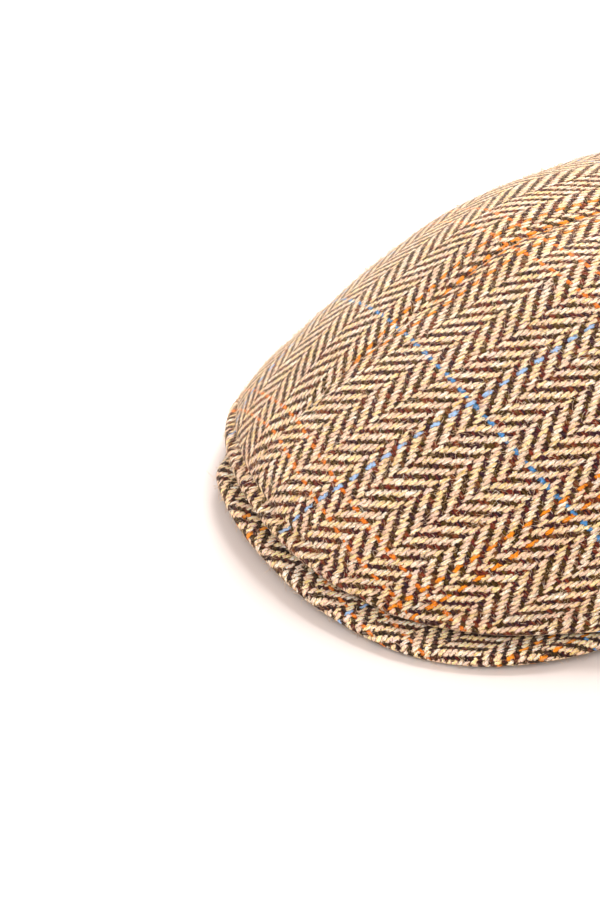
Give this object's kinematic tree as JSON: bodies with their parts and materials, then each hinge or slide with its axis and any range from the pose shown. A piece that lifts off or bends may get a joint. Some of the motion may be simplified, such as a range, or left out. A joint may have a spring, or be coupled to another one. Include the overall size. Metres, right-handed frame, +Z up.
{
  "type": "flat cap",
  "caption": "Soft flat cap of checked herringbone wool tweed, with a crown in two sewn halves folded over a stiff curved peak.",
  "frame": {"origin": "on the table that the cap lies on, under the middle of its length and width", "axes": "+Z up, +X to the wearer's left, +Y to the back of the cap, so that the peak points along -Y"},
  "size_m": [0.202, 0.267, 0.0907],
  "materials": {
    "tweed": "fuzzy herringbone wool tweed, cream over dark brown, with a blue and orange overcheck",
    "peak_tweed": "the same tweed over a stiff board"
  },
  "bodies": {
    "root": {"crown_left": "tweed", "crown_right": "tweed", "peak": "peak_tweed"}
  },
  "joints": []
}
